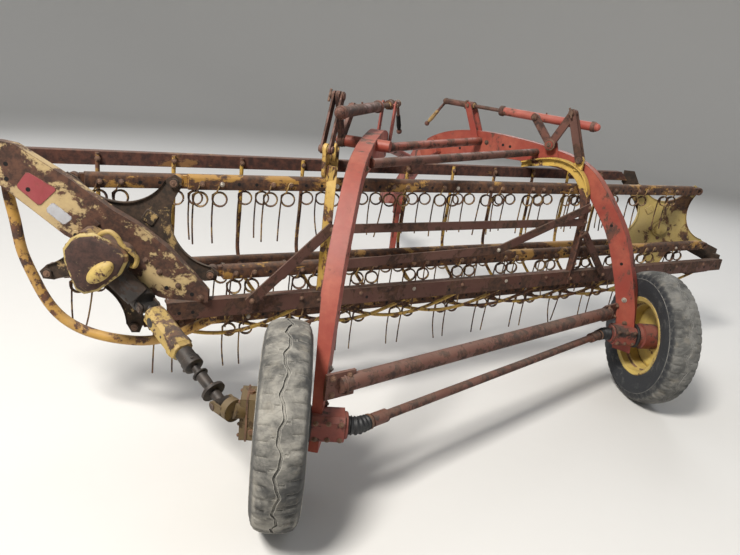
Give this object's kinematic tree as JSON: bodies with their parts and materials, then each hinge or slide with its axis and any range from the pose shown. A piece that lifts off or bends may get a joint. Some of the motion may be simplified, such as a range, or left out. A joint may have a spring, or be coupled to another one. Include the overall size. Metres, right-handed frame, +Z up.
{
  "type": "side-delivery bar rake",
  "caption": "Towed side-delivery hay rake with a slanting basket of parallel tooth bars between two staggered wheels, under arched channel frames.",
  "frame": {"origin": "on the ground, at the bottom centre of the whole machine's bounding box", "axes": "+Y along the direction of travel, towards the hitch; +X to the right; +Z up"},
  "size_m": [3.9432, 4.08, 1.423],
  "materials": {
    "boot": "matt",
    "cream": "worn",
    "iron": "rusty",
    "ochre": "worn",
    "red": "faded",
    "rust": "worn",
    "tyre": "worn",
    "yellow": "worn"
  },
  "bodies": {
    "frame": {"left_arch": "red", "right_arch": "red", "left_axle": "red", "right_axle": "red", "cross_tube": "rust", "top_brace": "rust", "upper_tube": "red", "tongue": "red", "hitch_clevis": "iron", "stand_sleeve": "red", "left_lift_mounts": "red", "right_lift_mounts": "red", "left_boot": "boot", "right_boot": "boot"},
    "left_wheel": {"left_tyre": "tyre", "left_rim": "yellow", "left_hub": "red"},
    "right_wheel": {"right_tyre": "tyre", "right_rim": "yellow", "right_hub": "red"},
    "cross_drive": {"cross_shaft": "iron"},
    "stand": {"stand_post": "red"},
    "basket": {"rear_beam": "rust", "top_rail": "ochre", "strippers": "yellow", "end_hoop": "ochre", "left_end_frame": "cream", "gear_case": "iron", "gear_cover": "iron", "left_hanger": "yellow", "right_hanger": "yellow", "basket_ties": "rust", "right_end_frame": "cream"},
    "reel_left": {"left_reel_head": "cream"},
    "reel_right": {"right_reel_head": "yellow"},
    "bar_1": {"tooth_bar_1": "ochre"},
    "bar_2": {"tooth_bar_2": "ochre"},
    "bar_3": {"tooth_bar_3": "ochre"},
    "bar_4": {"tooth_bar_4": "ochre"},
    "bar_5": {"tooth_bar_5": "ochre"},
    "drive_tube": {"drive_shaft_upper": "iron"},
    "drive_bar": {"drive_shaft_lower": "iron"},
    "left_crank": {"left_bell_crank": "rust"},
    "right_crank": {"right_bell_crank": "rust"},
    "left_link": {"left_link": "rust"},
    "right_link": {"right_link": "rust"},
    "left_screw": {"left_screw": "rust"},
    "right_screw": {"right_screw": "rust"},
    "left_screw_tube": {"left_screw_tube": "red"},
    "right_screw_tube": {"right_screw_tube": "red"}
  },
  "joints": [
    {"name": "left_wheel_spin", "type": "hinge", "parent": "frame", "child": "left_wheel", "pos_m": [-0.7806, -1.695, 0.345], "axis": [1, 0, 0], "continuous": true},
    {"name": "right_wheel_spin", "type": "hinge", "parent": "frame", "child": "right_wheel", "pos_m": [1.0774, -0.705, 0.345], "axis": [1, 0, 0], "continuous": true},
    {"name": "cross_drive_spin", "type": "hinge", "parent": "frame", "child": "cross_drive", "pos_m": [0.1484, -1.2, 0.345], "axis": [0.8068, 0.5908, 0], "continuous": true},
    {"name": "stand_slide", "type": "slide", "parent": "frame", "child": "stand", "axis": [0, 0, 1], "range_m": [0, 0.28]},
    {"name": "basket_lift", "type": "slide", "parent": "frame", "child": "basket", "axis": [0, 0, 1], "range_m": [-0.1, 0]},
    {"name": "reel_spin", "type": "hinge", "parent": "basket", "child": "reel_left", "pos_m": [-1.3976, -1.213, 0.757], "axis": [0, 1, 0], "continuous": true},
    {"name": "far_head_spin", "type": "hinge", "parent": "basket", "child": "reel_right", "pos_m": [1.49109, 0.09737, 0.757], "axis": [0, 1, 0], "continuous": true},
    {"name": "bar_1_turn", "type": "hinge", "parent": "reel_left", "child": "bar_1", "pos_m": [-1.37436, -1.213, 0.44787], "axis": [0, 1, 0], "continuous": true},
    {"name": "bar_2_turn", "type": "hinge", "parent": "reel_left", "child": "bar_2", "pos_m": [-1.09642, -1.213, 0.68358], "axis": [0, 1, 0], "continuous": true},
    {"name": "bar_3_turn", "type": "hinge", "parent": "reel_left", "child": "bar_3", "pos_m": [-1.2347, -1.213, 1.02075], "axis": [0, 1, 0], "continuous": true},
    {"name": "bar_4_turn", "type": "hinge", "parent": "reel_left", "child": "bar_4", "pos_m": [-1.59811, -1.213, 0.99343], "axis": [0, 1, 0], "continuous": true},
    {"name": "bar_5_turn", "type": "hinge", "parent": "reel_left", "child": "bar_5", "pos_m": [-1.68441, -1.213, 0.63937], "axis": [0, 1, 0], "continuous": true},
    {"name": "left_crank_turn", "type": "hinge", "parent": "frame", "child": "left_crank", "pos_m": [-0.63417, -0.90476, 1.2], "axis": [0.9336, -0.3584, 0], "range_deg": [0, 36]},
    {"name": "left_link_turn", "type": "hinge", "parent": "left_crank", "child": "left_link", "pos_m": [-0.66606, -0.98784, 1.375], "axis": [0.9336, -0.3584, 0], "range_deg": [-14.5, 0]},
    {"name": "left_screw_swing", "type": "hinge", "parent": "frame", "child": "left_screw", "pos_m": [-0.39182, -0.41294, 1.341], "axis": [0.9336, -0.3584, 0], "range_deg": [-5.6, 0]},
    {"name": "left_screw_run", "type": "slide", "parent": "left_screw", "child": "left_screw_tube", "axis": [-0.3582, -0.9332, -0.0277], "range_m": [0, 0.093]},
    {"name": "right_crank_turn", "type": "hinge", "parent": "frame", "child": "right_crank", "pos_m": [0.50301, -0.28932, 1.228], "axis": [0.7071, 0.7071, 0], "range_deg": [0, 36]},
    {"name": "right_link_turn", "type": "hinge", "parent": "right_crank", "child": "right_link", "pos_m": [0.56595, -0.35225, 1.403], "axis": [0.7071, 0.7071, 0], "range_deg": [-14.5, 0]},
    {"name": "right_screw_swing", "type": "hinge", "parent": "frame", "child": "right_screw", "pos_m": [0.15229, 0.13211, 1.369], "axis": [0.7071, 0.7071, 0], "range_deg": [-5.6, 0]},
    {"name": "right_screw_run", "type": "slide", "parent": "right_screw", "child": "right_screw_tube", "axis": [0.7068, -0.7068, -0.0277], "range_m": [0, 0.093]},
    {"name": "drive_tube_swing", "type": "hinge", "parent": "basket", "child": "drive_tube", "pos_m": [-1.2916, -1.37, 0.585], "axis": [-0.7214, -0.6925, 0], "range_deg": [0, 12]},
    {"name": "drive_bar_swing", "type": "hinge", "parent": "frame", "child": "drive_bar", "pos_m": [-0.9796, -1.695, 0.405], "axis": [-0.7214, -0.6925, 0], "range_deg": [0, 12]}
  ],
  "couplings": [
    {"joint": "far_head_spin", "follows": "reel_spin", "ratio": 1},
    {"joint": "bar_1_turn", "follows": "reel_spin", "ratio": -1},
    {"joint": "bar_2_turn", "follows": "reel_spin", "ratio": -1},
    {"joint": "bar_3_turn", "follows": "reel_spin", "ratio": -1},
    {"joint": "bar_4_turn", "follows": "reel_spin", "ratio": -1},
    {"joint": "bar_5_turn", "follows": "reel_spin", "ratio": -1},
    {"joint": "left_crank_turn", "follows": "basket_lift", "rad_per_m": -6.07},
    {"joint": "left_link_turn", "follows": "basket_lift", "rad_per_m": 1.86},
    {"joint": "left_screw_swing", "follows": "basket_lift", "rad_per_m": 0.95},
    {"joint": "left_screw_run", "follows": "basket_lift", "ratio": -0.91},
    {"joint": "right_crank_turn", "follows": "basket_lift", "rad_per_m": -6.19},
    {"joint": "right_link_turn", "follows": "basket_lift", "rad_per_m": 2.4},
    {"joint": "right_screw_swing", "follows": "basket_lift", "rad_per_m": 0.95},
    {"joint": "right_screw_run", "follows": "basket_lift", "ratio": -0.925},
    {"joint": "drive_tube_swing", "follows": "basket_lift", "rad_per_m": -2.0437},
    {"joint": "drive_bar_swing", "follows": "basket_lift", "rad_per_m": -2.0437}
  ]
}
